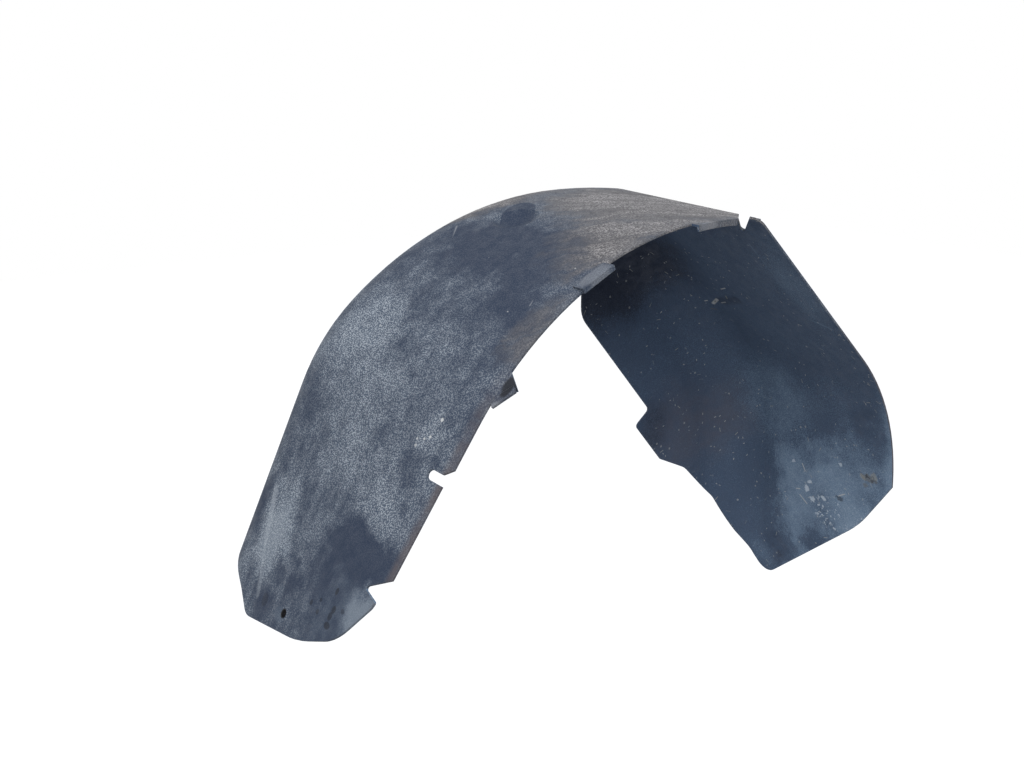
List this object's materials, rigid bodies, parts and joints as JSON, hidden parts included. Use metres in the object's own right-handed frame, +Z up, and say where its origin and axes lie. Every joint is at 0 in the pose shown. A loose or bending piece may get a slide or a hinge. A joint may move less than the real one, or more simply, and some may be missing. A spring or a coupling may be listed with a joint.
{
  "type": "wheel arch liner",
  "caption": "Arched plastic liner for a car's wheel arch, with a rolled shoulder, an inner web, a fixing hole and edge tabs, worn and dusty.",
  "frame": {"origin": "on the wheel's axis, in the plane of the liner's outboard edge", "axes": "+X from the left foot to the right foot as seen from outboard, +Y inboard along the wheel's axis, +Z up"},
  "size_m": [0.8635, 0.3398, 0.6236],
  "materials": {
    "liner_plastic": "grained matt black plastic, dusty"
  },
  "bodies": {
    "root": {"wheel_arch_liner": "liner_plastic"}
  },
  "joints": []
}
